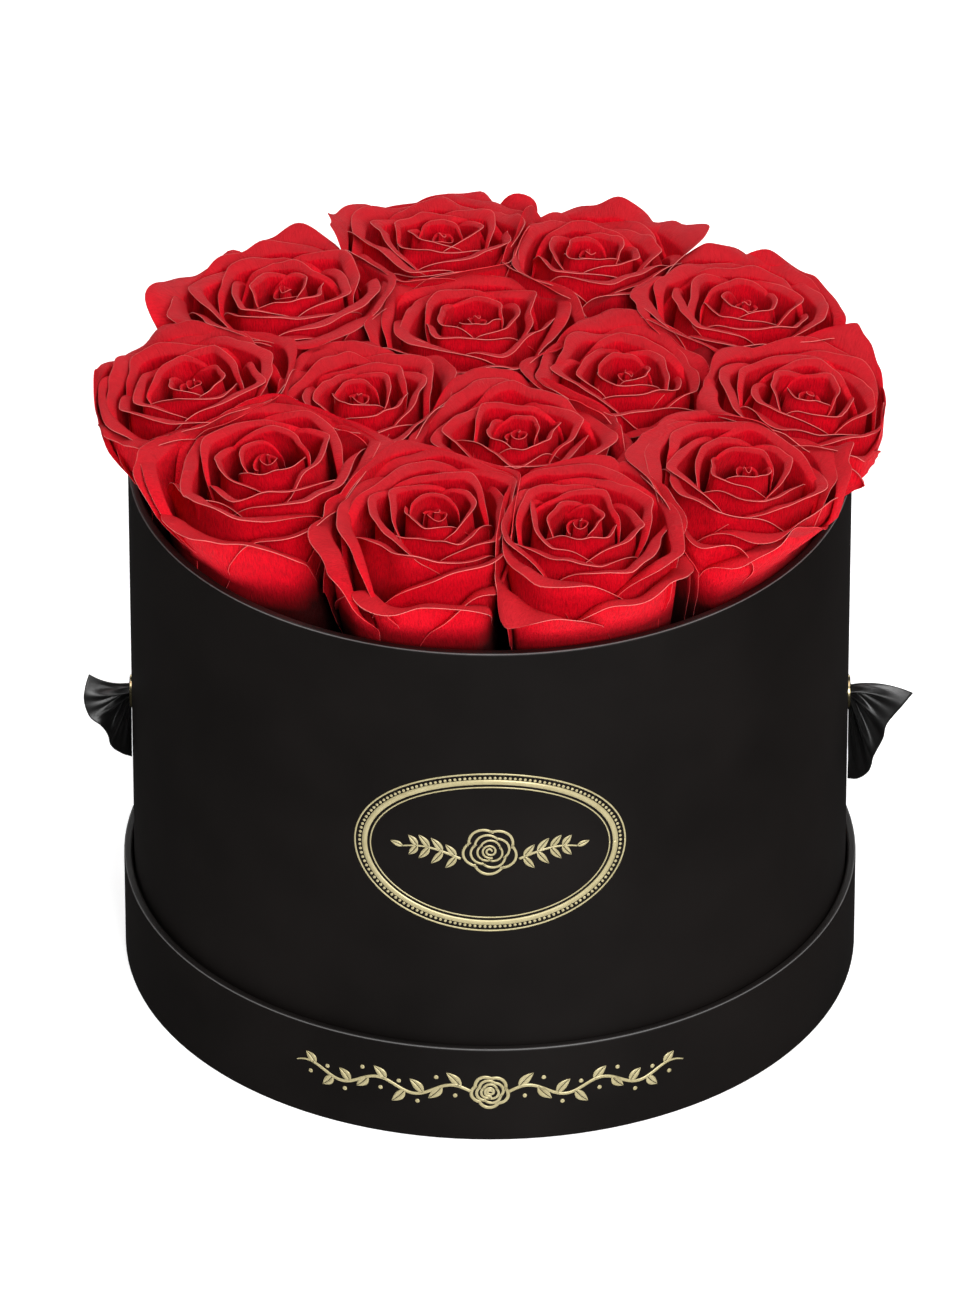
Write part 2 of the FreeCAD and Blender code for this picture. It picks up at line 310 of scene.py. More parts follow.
def petal_material():
    """Velvety preserved petal: painted shade at the foot, clear red walls, lips paler with a painted sheen,
    a thin pale rim.

    The depth attribute is 0 at the foot and 1 at the top; low depth gets the painted shade.
    The lip attribute is 0 on the wall, 1 on the lip and 2 at its very edge.
    """
    material, tree, shader = new_material("rose_petal")
    depth = add_attribute(tree, "depth")
    share = add_attribute(tree, "lip")
    lip = maths(tree, "MINIMUM", share, 1.0)
    past_lip = maths(tree, "MAXIMUM", maths(tree, "SUBTRACT", share, 1.0), 0.0)
    rim = maths(tree, "MULTIPLY", past_lip, RIM_PALENESS)
    along = add(tree, "UVMap").outputs["UV"]
    fibre = scaled_noise(tree, along, (1, 0.17, 1), 70, 5, 0.72)
    cloud = scaled_noise(tree, along, (1, 0.7, 1), 14, 3)
    # painted shade: dark deep down between the petals, full colour near their tops
    colour = ramp(tree, depth, (0.06, PETAL_PAINTED_SHADE), (0.44, PETAL_PAINTED_HALF_SHADE), (0.68, PETAL_WALL))
    # the lips take the painted sheen colour
    colour = mix(tree, lip, colour, (*PETAL_LIP_PAINTED_SHEEN, 1))
    shade = ramp(tree, fibre, (0.36, grey(0.6)), (0.55, grey(1.0)))
    velvet = maths(tree, "SUBTRACT", 0.75, maths(tree, "MULTIPLY", lip, 0.5))
    colour = mix(tree, velvet, colour, shade, "MULTIPLY")
    patch = ramp(tree, cloud, (0.3, grey(0.85)), (0.65, grey(1.0)))
    colour = mix(tree, 0.7, colour, patch, "MULTIPLY")
    colour = mix(tree, rim, colour, (*PETAL_EDGE, 1))
    connect(tree, colour, shader.inputs["Base Color"])
    shader.inputs["Roughness"].default_value = 0.65
    shader.inputs["Specular IOR Level"].default_value = 0.12
    shader.inputs["Sheen Weight"].default_value = 0.04
    shader.inputs["Sheen Roughness"].default_value = 0.45
    shader.inputs["Sheen Tint"].default_value = (1.0, 0.35, 0.35, 1)
    connect(tree, bump(tree, fibre, 1.0, 0.0008), shader.inputs["Normal"])
    return material


def petal_edge_material():
    """The thin rim round each petal: dried and pale along the lip, red down the sides."""
    material, tree, shader = new_material("rose_petal_edge")
    where = object_coordinates(tree)
    dry = scaled_noise(tree, where, EVEN, 400, 3)
    colour = ramp(tree, dry, (0.3, tuple(c * 0.8 for c in PETAL_EDGE)), (0.7, PETAL_EDGE))
    pale = maths(tree, "ADD", 0.12, maths(tree, "MULTIPLY", add_attribute(tree, "lip"), 0.88))
    colour = mix(tree, pale, (*PETAL_WALL, 1), colour)
    connect(tree, colour, shader.inputs["Base Color"])
    shader.inputs["Roughness"].default_value = 0.6
    shader.inputs["Sheen Weight"].default_value = 0.2
    return material


# ---------------------------------------------------------------- meshes


def make_object(name, vertices, faces, materials, smooth=True):
    mesh = bpy.data.meshes.new(name)
    mesh.from_pydata([tuple(v) for v in vertices], [], [tuple(f) for f in faces])
    for material in materials:
        mesh.materials.append(material)
    if smooth:
        mesh.polygons.foreach_set("use_smooth", [True] * len(mesh.polygons))
    piece = bpy.data.objects.new(name, mesh)
    bpy.context.collection.objects.link(piece)
    return piece


def grid_faces(rows, columns, start=0):
    """The quads of a grid of vertices that are numbered row by row from start."""
    r, c = np.meshgrid(np.arange(rows - 1), np.arange(columns - 1), indexing="ij")
    a = start + r * columns + c
    return np.stack([a, a + 1, a + columns + 1, a + columns], axis=-1).reshape(-1, 4)


def set_attribute(mesh, name, values):
    """values holds one number per vertex."""
    layer = mesh.attributes.new(name, "FLOAT", "POINT")
    layer.data.foreach_set("value", np.asarray(values, dtype=np.float32))


def set_uv(mesh, uv):
    """uv holds one pair per vertex."""
    loops = np.empty(len(mesh.loops), dtype=np.int32)
    mesh.loops.foreach_get("vertex_index", loops)
    layer = mesh.uv_layers.new(name="UVMap")
    layer.data.foreach_set("uv", np.asarray(uv, dtype=np.float32)[loops].ravel())


def solidify(piece, thickness, offset=0.0, rim_material=0):
    """Gives a surface its thickness in metres; the rim takes the piece's material of that number."""
    modifier = piece.modifiers.new("thickness", "SOLIDIFY")
    modifier.thickness = thickness
    modifier.offset = offset
    modifier.material_offset_rim = rim_material


# ---------------------------------------------------------------- roses, in millimetres

GOLDEN = math.radians(137.508)
MODEL_RADIUS = 26.0
RING_PETALS = 14
GUARD_PETALS = 5
PETAL_THICKNESS = 0.15
HEART_HEIGHT = 59.0

# heading in degrees from +X, distance of the tip from the axis, radius, spin in degrees, seed
OUTER_ROSES = [
    (140, 75, 29.0, 20, 11),
    (100, 79, 27.0, 75, 12),
    (68, 74, 25.5, 130, 13),
    (30, 82, 27.5, 200, 14),
    (-5, 88, 27.5, 250, 15),
    (-34, 84, 27.0, 310, 16),
    (-72, 78, 26.5, 15, 17),
    (-102, 71, 27.5, 95, 18),
    (-146, 73.5, 30.5, 160, 19),
    (-179, 82, 27.5, 225, 20),
]
INNER_ROSES = [
    (97, 33, 27.0, 290, 21),
    (5, 38, 25.0, 340, 22),
    (-75, 29, 26.5, 50, 23),
    (-167, 37, 25.0, 110, 24),
]
# How far a rose's foot stands in from its tip, as a share of the tip's distance from the axis
LEAN = 0.10
BLOOM_BASE = 125.0
HEART_TOP = 184.0
# The share of its height at which a rose is widest
WIDEST_AT = 0.8


def bezier(p, points):
    """A cubic curve at the shares p of its way."""
    p = p[..., None]
    a, b, c, d = (np.asarray(q, dtype=float) for q in points)
    return a * (1 - p) ** 3 + 3 * b * p * (1 - p) ** 2 + 3 * c * p**2 * (1 - p) + d * p**3


WAVE_HEIGHT = math.sin(1)


def waves(rng, x, count, low, high):
    """A random wave of about unit height along x: count sines of frequencies between low and high."""
    total = np.zeros_like(x)
    for _ in range(count):
        total += WAVE_HEIGHT * np.sin(x * rng.uniform(low, high) + rng.uniform(0, 2 * math.pi))
    return total / math.sqrt(count)


# Rows of a petal: shares of the wall's height, then shares of the lip's width up to its narrow dry rim
WALL_STEPS = np.array([0, 0.14, 0.3, 0.46, 0.6, 0.72, 0.81, 0.88, 0.93, 0.97, 1.0])
LIP_STEPS = np.array([0.08, 0.2, 0.35, 0.55, 0.75])
RIM_WIDTH = 0.28


class Shape:
    """What sets one petal apart: sizes in millimetres, angles in degrees.

    t is 0 at the heart and 1 outside. The wall ends and the lip starts at top_r and top_z. The sides run
    down by drop, as a share of the wall. The petal is bent as sharply as corner says, at corner_at of its
    half angle. ragged says how uneven it is.
    """

    def __init__(self, t, top_r, top_z, half_angle, lip, curl, drop, ragged, corner, corner_at):
        self.t = t
        self.top_r = top_r
        self.top_z = top_z
        self.half_angle = math.radians(half_angle)
        self.lip = lip
        self.curl = curl
        self.drop = drop
        self.ragged = ragged
        self.corner = corner
        self.corner_at = corner_at * self.half_angle


def ring_petal(rng, index):
    """A petal of the spiral between the heart and the outside."""
    t = (index + 1) / RING_PETALS
    sink = 0.9 * min(1, 2.5 * t) + 2.4 * t**3
    return Shape(
        t=t,
        top_r=3.3 + 19.7 * t**0.87,
        top_z=HEART_HEIGHT - sink + rng.uniform(-1, 1) * (0.4 + 0.8 * t),
        half_angle=110 - 36 * t**0.7,
        lip=1.2 + 3.6 * t + rng.uniform(-0.5, 0.7) * t,
        curl=60 + 34 * t,
        drop=0.10 + 0.17 * t,
        ragged=0.5 + 1.0 * t,
        corner=rng.uniform(0.3, 0.8),
        corner_at=rng.uniform(-0.4, 0.4),
    )


def guard_petal(rng, rose, centre):
    """One of the loose petals outside the spiral: lowest where it faces the front."""
    facing = -math.sin(centre + rose.spin)
    fall = max(rose.fall * (4.0 + 8.0 * facing) + rng.uniform(-1.0, 1.5), rng.uniform(1.2, 3.2))
    return Shape(
        t=1.0,
        top_r=24.6 + rng.uniform(0, 1.8),
        top_z=HEART_HEIGHT - fall,
        half_angle=rng.uniform(58, 78),
        lip=rng.uniform(5.5, 9.0),
        curl=rng.uniform(80, 112),
        drop=rng.uniform(0.26, 0.40),
        ragged=rng.uniform(1.8, 2.9),
        corner=rng.uniform(0.1, 0.45),
        corner_at=rng.uniform(-0.5, 0.5),
    )


def petal(rng, shape, centre):
    """One petal about the local +Z axis, facing the angle centre.

    Gives the positions in rows from foot to edge, the depth and lip attributes, and the UVs.
    """
    t = shape.t
    columns = int(32 + 24 * t)
    u = np.linspace(-1, 1, columns)
    theta = u * shape.half_angle
    foot = (2.0 + 3.5 * t, 10.0 - 8.0 * t)
    belly = (shape.top_r + 4.0 + 0.5 * t, foot[1] + 5.0 + 2.0 * t)
    shoulder = (shape.top_r + 2.4 - 1.4 * t, shape.top_z - 16.0)
    profile = (foot, belly, shoulder, (shape.top_r, shape.top_z))

    # rows up the petal: 0 at the foot, 1 where the lip starts, then a narrow dry rim that ends at 2
    rim_row = 1 - min(0.18, RIM_WIDTH / shape.lip)
    lip_steps = np.concatenate([LIP_STEPS, [rim_row, 1.0]])
    row = np.concatenate([WALL_STEPS, 1 + lip_steps])

    # how far up the profile each column goes: a broad petal whose sides run down
    reach = 1 - shape.drop * np.abs(u) ** 4.0 + 0.008 * shape.ragged * waves(rng, u, 4, 3, 14)
    reach = reach - 0.012 * shape.ragged * np.abs(u)
    p = np.clip(WALL_STEPS[:, None] * reach[None, :], 0, 1)
    wall = bezier(p, profile)

    # the lip: an arc that leaves the wall's top and rolls outwards, narrower towards the sides
    tangent = bezier(reach, profile) - bezier(reach - 0.02, profile)
    lean = np.arctan2(tangent[:, 0], tangent[:, 1])
    fold = np.sqrt(u**2 + 0.008)
    broad, fine = waves(rng, u, 4, 3, 12), waves(rng, u, 3, 14, 26)
    width = shape.lip * (1 - 0.80 * fold**1.7) * (1 + shape.ragged * (0.12 * broad + 0.05 * fine))
    curl = np.radians(shape.curl) * (1 + 0.16 * shape.ragged * waves(rng, u, 3, 2, 7)) * (1 - 0.3 * fold**2)
    angle = lean[None, :] + curl[None, :] * (lip_steps[:, None] - 0.5 * lip_steps[0]) ** 0.28
    step = np.clip(width, 0.15, None)[None, :] * np.diff(lip_steps, prepend=0)[:, None]
    lip = np.stack([np.sin(angle) * step, np.cos(angle) * step], axis=-1).cumsum(axis=0) + wall[-1]
    rz = np.concatenate([wall, lip])

    # plan shape: two straighter sides that meet in a soft corner, and a spiral step outwards
    bend = np.cos(np.sqrt((theta - shape.corner_at) ** 2 + 0.003) - shape.half_angle * 0.5)
    plan = 1 + shape.corner * (1 / np.clip(bend, 0.62, 1) - 1) * min(1, 3.0 * t)
    spiral = (0.5 + 1.3 * t) * u
    ripple = 0.38 * waves(rng, theta, 4, 2, 8) * (0.4 + shape.ragged)
    weight = np.clip(row, 0, 1)[:, None] ** 1.6
    radius = rz[..., 0] * (1 + (plan[None, :] - 1) * weight) + (spiral + ripple)[None, :] * weight
    heading = centre + theta
    x = radius * np.cos(heading)[None, :]
    y = radius * np.sin(heading)[None, :]
    tip_rise = 1.1 * min(1, 2 * t) * np.exp(-((u / 0.13) ** 2))
    z = rz[..., 1] + tip_rise[None, :] * np.clip(row - 0.7, 0, 1)[:, None]

    # depth sets the painted shade: 0 deep down between the petals, 1 near the top
    depth = np.clip(1 - (shape.top_z - z) / (11 + 27 * t), 0, 1)
    lip_share = np.clip((row - 0.98) * 8, 0, 1) + (row == 2.0)
    lip_share = lip_share[:, None] * np.clip(2.0 * (0.9 - fold), 0, 1)[None, :]
    run = np.concatenate([[0], np.cumsum(np.hypot(*np.diff(rz[:, columns // 2], axis=0).T))])
    uv = np.stack(np.broadcast_arrays((theta * shape.top_r)[None, :], run[:, None]), axis=-1) / 30.0
    return np.stack([x, y, z], axis=-1), depth, lip_share, uv + rng.uniform(0, 9, 2)


def bud(rng):
    """The heart: one sheet rolled nearly two turns into a narrow cone."""
    columns = 72
    u = np.linspace(0, 1, columns)
    theta = u * math.radians(640) + rng.uniform(0, 6)
    v = np.array([0, 0.2, 0.4, 0.55, 0.7, 0.8, 0.88, 0.94, 1.0, 1.03, 1.05])[:, None]
    up = np.clip(v, 0, 1)
    top_r = 0.4 + 2.7 * u**1.2 + 0.16 * waves(rng, theta, 3, 1, 3)
    radius = top_r * up**0.6 + (1.4 + 2.2 * u) * (1 - up) ** 0.8 + 9 * (v - up) * (0.3 + u)
    z = HEART_HEIGHT - 20 + (19.4 - 2.6 * u + 0.5 * waves(rng, theta, 3, 1, 3)) * up + 5 * (v - up)
    grid = np.stack(np.broadcast_arrays(radius * np.cos(theta), radius * np.sin(theta), z), axis=-1)
    # depth sets the painted shade, a little darker low in the heart
    depth = np.clip(grid[..., 2] / HEART_HEIGHT, 0, 1)
    lip_share = np.clip((v - 0.94) * 5, 0, 0.5) * np.ones(columns)
    uv = np.stack(np.broadcast_arrays(u * 1.2, v * 0.6), axis=-1)
    return grid, depth, lip_share, uv


def petals_of(rng, rose):
    """All the sheets of one rose, from the heart outwards."""
    yield bud(rng)
    for index in range(RING_PETALS):
        yield petal(rng, ring_petal(rng, index), index * GOLDEN + rng.uniform(-0.2, 0.2))
    turn = rng.uniform(0, 6)
    for index in range(GUARD_PETALS):
        centre = turn + index * 2 * math.pi / GUARD_PETALS + rng.uniform(-0.2, 0.2)
        yield petal(rng, guard_petal(rng, rose, centre), centre)


class Rose:
    """Where one rose stands: its foot, its axis and the point where it is widest.

    fall says how far its loose petals sink towards the front: least at the back of the box.
    """

    def __init__(self, heading, distance, radius, spin, seed):
        a = math.radians(heading)
        out = Vector((math.cos(a), math.sin(a), 0))
        self.tip = out * distance + Vector((0, 0, HEART_TOP))
        self.foot = out * (distance * (1 - LEAN)) + Vector((0, 0, BLOOM_BASE))
        self.axis = (self.tip - self.foot).normalized()
        self.radius = radius
        self.widest = self.foot + self.axis * (WIDEST_AT * (self.tip - self.foot).length)
        self.spin = math.radians(spin)
        self.seed = seed
        self.fall = min(max((10 - self.tip.y) / 84, 0.25), 1.0)

    def placement(self):
        scale = self.radius / MODEL_RADIUS
        height = (self.tip - self.foot).length / HEART_HEIGHT
        turn = Vector((0, 0, 1)).rotation_difference(self.axis).to_matrix().to_4x4()
        size = Matrix.Diagonal((scale, scale, height, 1))
        return Matrix.Translation(self.foot) @ turn @ Matrix.Rotation(self.spin, 4, "Z") @ size


def squeezed(distance, limit, softness):
    """Leaves what is well inside the limit, and packs what is near or past it ever closer to it."""
    start = limit - softness
    over = np.maximum(distance - start, 0)
    return np.where(distance > start, start + softness * (1 - np.exp(-over / softness)), distance)


# Between neighbours: lips may cross a little above LIP_LEVEL, bulbs keep a gap below BULB_LEVEL
NEIGHBOUR_RANGE = 14.0
NEIGHBOUR_SOFTNESS = 5.0
LIP_OVERLAP = 2.0
LIP_LEVEL = 168.0
LIP_RISE = 6.0
BULB_GAP = 2.6
BULB_LEVEL = 172.0
BULB_RISE = 14.0
# Against the box: petals stay inside the wall, and spread out over the rim above it
WALL_SOFTNESS = 5.0
WALL_LIMIT = 96.3
OVERHANG_START = 2.5
OVERHANG_SLOPE = 1.1
OVERHANG_MOST = 13.0
TOP_LIMIT = HEART_TOP + 2.5
TOP_SOFTNESS = 3.0
# Colour: pale edges fade where petals are packed this far aside, and a painted shadow of the box darkens
# the petals' feet, darkest at this height and gone this far above it
PACKED_SHIFT = 6.0
PACKED_FREE = 1.4
FOOT_SHADOW_LEVEL = 152.5
FOOT_SHADOW_FADE = 14.0


def pressed(points, rose, roses):
    """Presses the petals against the neighbours' and inside the wall, and lets them hang over the rim."""
    for other in roses:
        apart = np.array(other.widest - rose.widest)
        gap = np.linalg.norm(apart)
        if other is rose or gap > rose.radius + other.radius + NEIGHBOUR_RANGE:
            continue
        normal = apart / gap
        share = rose.radius / (rose.radius + other.radius)
        limit = gap * share + LIP_OVERLAP * np.clip((points[:, 2] - LIP_LEVEL) / LIP_RISE, 0, 1)
        limit = limit - BULB_GAP * np.clip((BULB_LEVEL - points[:, 2]) / BULB_RISE, 0, 1)
        distance = (points - np.array(rose.widest)) @ normal
        moved = squeezed(distance, limit, NEIGHBOUR_SOFTNESS)
        points = points + (moved - distance)[:, None] * normal
    reach = np.hypot(points[:, 0], points[:, 1])
    over = np.clip((points[:, 2] - RIM - OVERHANG_START) * OVERHANG_SLOPE, 0, OVERHANG_MOST)
    moved = squeezed(reach, WALL_LIMIT + over, WALL_SOFTNESS)
    points[:, :2] *= (moved / np.maximum(reach, 1e-6))[:, None]
    points[:, 2] = squeezed(points[:, 2], TOP_LIMIT, TOP_SOFTNESS)
    return points


def make_rose(number, rose, roses, materials):
    rng = np.random.default_rng(rose.seed)
    points, faces, depths, lips, uvs = [], [], [], [], []
    start = 0
    for grid, depth, lip, uv in petals_of(rng, rose):
        rows, columns = grid.shape[:2]
        faces.append(grid_faces(rows, columns, start))
        points.append(grid.reshape(-1, 3))
        depths.append(depth.ravel())
        lips.append(lip.ravel())
        uvs.append(uv.reshape(-1, 2))
        start += rows * columns
    place = np.array(rose.placement())
    points = np.concatenate(points) @ place[:3, :3].T + place[:3, 3]
    free = points
    points = pressed(points, rose, roses)
    packed = np.linalg.norm(points - free, axis=1) / PACKED_SHIFT
    lips = np.concatenate(lips) * np.clip(PACKED_FREE - packed, 0, 1)
    # a painted shadow of the box on the petals' feet near the rim
    depths = np.minimum(np.concatenate(depths), (points[:, 2] - FOOT_SHADOW_LEVEL) / FOOT_SHADOW_FADE)
    piece = make_object(f"rose_{number:02d}_petals", points * MM, np.concatenate(faces), materials)
    set_attribute(piece.data, "depth", np.clip(depths, 0, 1))
    set_attribute(piece.data, "lip", lips)
    set_uv(piece.data, np.concatenate(uvs))
    solidify(piece, PETAL_THICKNESS * MM, rim_material=1)
    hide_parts(f"rose_{number:02d}_bloom")
    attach(piece, "box")


def make_roses():
    materials = [petal_material(), petal_edge_material()]
    roses = [Rose(*spec) for spec in OUTER_ROSES + INNER_ROSES]
    for number, rose in enumerate(roses, 1):
        make_rose(number, rose, roses, materials)


# ---------------------------------------------------------------- ribbons, in millimetres

# The ribbon's thickness and the tails' clearance from the wall in millimetres, the tail's columns and rows,
# and its number of pleats
RIBBON_THICKNESS = 0.28
TAIL_COLUMNS = 112
TAIL_ROWS = 34
TAIL_CLEARANCE = 0.35
PLEATS = 4.0
# The gather in the eyelet: how far out from the pivot, half its height, and the share of the tail inside it
ROOT_OUT = -3.3
ROOT_HALF = 1.3
ROOT_SHARE = 0.16

# Free edge of each tail from its upper corner to its lower one: outward, back and up from the pivot
LEFT_EDGE = [
    (8.5, 0.5, 5.2),
    (9.6, -1.6, 2.0),
    (9.9, -3.0, -1.6),
    (8.4, -4.3, -5.8),
    (5.2, -5.0, -8.4),
    (3.4, -3.0, -12.8),
    (2.6, -0.6, -18.0),
    (0.0, 1.0, -21.2),
    (-3.1, 2.0, -23.2),
]
RIGHT_EDGE = [
    (14.8, 0.8, -1.2),
    (11.4, -1.6, -4.4),
    (7.5, -3.6, -8.8),
    (6.4, -4.4, -13.2),
    (3.8, -4.8, -19.0),
    (3.4, -2.0, -23.4),
    (2.5, 0.5, -27.5),
    (-0.3, 1.5, -30.2),
    (-3.1, 2.2, -30.6),
]
# How far the upper and lower sides bow away from straight lines, in millimetres up
LEFT_BOW = (-2.2, -1.0)
RIGHT_BOW = (3.6, -2.0)


def catmull(points, count):
    """A smooth curve through the points, as count points at even spacing."""
    p = np.asarray(points, dtype=float)
    p = np.concatenate([2 * p[:1] - p[1:2], p, 2 * p[-1:] - p[-2:-1]])
    s = np.linspace(0, 1, 24, endpoint=False)[:, None]
    pieces = []
    for a, b, c, d in zip(p, p[1:], p[2:], p[3:]):
        square, cube = 2 * a - 5 * b + 4 * c - d, 3 * b - a - 3 * c + d
        pieces.append(0.5 * (2 * b + (c - a) * s + square * s**2 + cube * s**3))
    curve = np.concatenate(pieces + [p[-2:-1]])
    run = np.concatenate([[0], np.cumsum(np.linalg.norm(np.diff(curve, axis=0), axis=1))])
    even = np.linspace(0, run[-1], count)
    return np.stack([np.interp(even, run, curve[:, k]) for k in range(curve.shape[1])], axis=-1)


def tail_points(edge, bow, phase):
    """A ribbon end that fans out of the eyelet with pleats that open towards its edge: out, back and up."""
    u = np.linspace(0, 1, TAIL_COLUMNS)
    v = np.linspace(0, 1, TAIL_ROWS)[:, None]
    rim = catmull(edge, TAIL_COLUMNS)
    root = np.stack([np.full_like(u, ROOT_OUT), np.zeros_like(u), ROOT_HALF * (1 - 2 * u)], axis=-1)
    lift = bow[0] * (1 - u) ** 2 + bow[1] * u**2
    middle = (root + rim) / 2 + np.stack([np.zeros_like(u), np.zeros_like(u), lift], axis=-1)
    v3 = v[..., None]
    sheet = root * (1 - v3) ** 2 + 2 * middle * v3 * (1 - v3) + rim * v3**2
    gathered = (1 - v) ** 1.5
    around = 2 * math.pi * u
    wave = np.sin(PLEATS * around + phase) + 0.35 * np.sin((2 * PLEATS + 1) * around + 2 * phase)
    sheet[..., 1] += wave * (1.8 * gathered + 0.08)
    broad = np.sin(2.3 * around + phase)
    sheet[..., 1] += broad * 0.9 * np.sin(math.pi * v) * np.sin(math.pi * u)
    sheet[..., 0] += 0.5 * gathered * np.cos(PLEATS * around + phase) * v
    return sheet, u, v


def make_tail(side, name, edge, bow, phase, material):
    """The free end of one ribbon; side is -1 on the left and 1 on the right."""
    pivot = PIVOTS["ribbon_" + name]
    sheet, u, v = tail_points(edge, bow, phase)
    out, back, up = (sheet[..., k].ravel() for k in range(3))
    clear = BOX_RADIUS + TAIL_CLEARANCE
    x = np.abs(pivot.x) + out
    outside = v.repeat(TAIL_COLUMNS) > ROOT_SHARE
    least = np.sqrt(np.maximum(clear**2 - back**2, 0))
    x = np.where(outside, np.maximum(x, least), x)
    points = np.stack([side * x, back, pivot.z + up], axis=-1) * MM
    piece = make_object(f"ribbon_{name}_satin", points, grid_faces(TAIL_ROWS, TAIL_COLUMNS), [material])
    uv = np.stack(np.broadcast_arrays(u[None, :] * 4.0, v * 2.4), axis=-1).reshape(-1, 2)
    set_uv(piece.data, uv)
    solidify(piece, RIBBON_THICKNESS * MM)
    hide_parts(f"ribbon_tail_{name}")
    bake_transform(piece)


KNOT_SECTION = 14
KNOT_ROWS = 120
NECK_COLUMNS = 49
NECK_ROWS = 12
NECK_RADIUS = 2.25


def swept_band(path, width, thickness, turns):
    """A flat band with rounded edges swept along a closed path; rows of section points."""
    angle = np.linspace(0, 2 * math.pi, KNOT_SECTION, endpoint=False)
    tangent = np.gradient(path, axis=0)
    tangent /= np.linalg.norm(tangent, axis=1)[:, None]
    centre = path.mean(axis=0)
    outward = path - centre
    outward -= (outward * tangent).sum(axis=1)[:, None] * tangent
    outward /= np.linalg.norm(outward, axis=1)[:, None]
    sideways = np.cross(tangent, outward)
    crease = 1 + 0.12 * np.sin(4 * angle + turns)
    a = (thickness / 2 * np.cos(angle) * crease)[None, :, None] * outward[:, None, :]
    b = (width / 2 * np.sin(angle))[None, :, None] * sideways[:, None, :]
    return path[:, None, :] + a + b


def make_knot(side, name, material):
    """An overhand knot behind the wall, with the ribbon's gathered neck running out through the eyelet."""
    low, high = (np.array(c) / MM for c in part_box(f"ribbon_knot_{name}"))
    height = (low[2] + high[2]) / 2
    radius = (high[2] - low[2]) / 2
    inner = low[0] if side > 0 else -high[0]
    outer = high[0] if side > 0 else -low[0]
    middle = inner + radius
    t = np.linspace(0, 2 * math.pi, KNOT_ROWS)
    # a trefoil, which is the closed form of an overhand knot, scaled to fit its ball
    wide = (np.sin(t) + 2 * np.sin(2 * t)) * 0.215 * radius
    tall = (np.cos(t) - 2 * np.cos(2 * t)) * 0.215 * radius
    deep = -np.sin(3 * t) * 0.40 * radius
    knot = swept_band(np.stack([deep, wide, tall], axis=-1), 0.85 * radius, 0.42 * radius, 0.6)
    rows, columns = knot.shape[:2]
    closed = np.concatenate([knot, knot[:, :1]], axis=1).reshape(-1, 3) + np.array([middle, 0, height])
    faces = grid_faces(rows, columns + 1)

    u = np.linspace(0, 2 * math.pi, NECK_COLUMNS)
    along = np.linspace(middle, outer, NECK_ROWS)[:, None]
    ribs = NECK_RADIUS * (1 + 0.10 * np.sin(9 * u))
    neck = np.stack(np.broadcast_arrays(along, ribs * np.cos(u), height + ribs * np.sin(u)), axis=-1)
    tip = np.stack(np.broadcast_arrays(outer, 0 * u, height), axis=-1)[None]
    neck = np.concatenate([neck, tip]).reshape(-1, 3)
    points = np.concatenate([closed, neck]) * np.array([side, 1, 1]) * MM
    faces = np.concatenate([faces, grid_faces(NECK_ROWS + 1, NECK_COLUMNS, len(closed))])
    piece = make_object(f"ribbon_{name}_knot_satin", points, faces, [material])
    uv = np.concatenate([closed[:, [1, 2]], neck[:, [0, 2]]]) / 10
    set_uv(piece.data, uv)
    weld(piece)
    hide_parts(f"ribbon_knot_{name}")
    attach(piece, "box")


def weld(piece):
    """Joins the vertices that meet at a seam."""
    modifier = piece.modifiers.new("weld", "WELD")
    modifier.merge_threshold = 0.01 * MM


def make_ribbons():
    material = satin_material()
    make_tail(-1, "left", LEFT_EDGE, LEFT_BOW, 0.9, material)
    make_tail(1, "right", RIGHT_EDGE, RIGHT_BOW, 2.1, material)
    make_knot(-1, "left", material)
    make_knot(1, "right", material)


# ---------------------------------------------------------------- gold artwork, in millimetres

FOIL = 0.12
EMBLEM_HEIGHT = 93.0
BAND_HEIGHT = 16.0


def polar(angle, radius):
    return np.stack([radius * np.cos(angle), radius * np.sin(angle)], axis=-1)


def oval(half_width, half_height, count):
    """A closed oval whose last point repeats its first."""
    a = np.linspace(0, 2 * math.pi, count)
    return np.stack([half_width * np.cos(a), half_height * np.sin(a)], axis=-1)


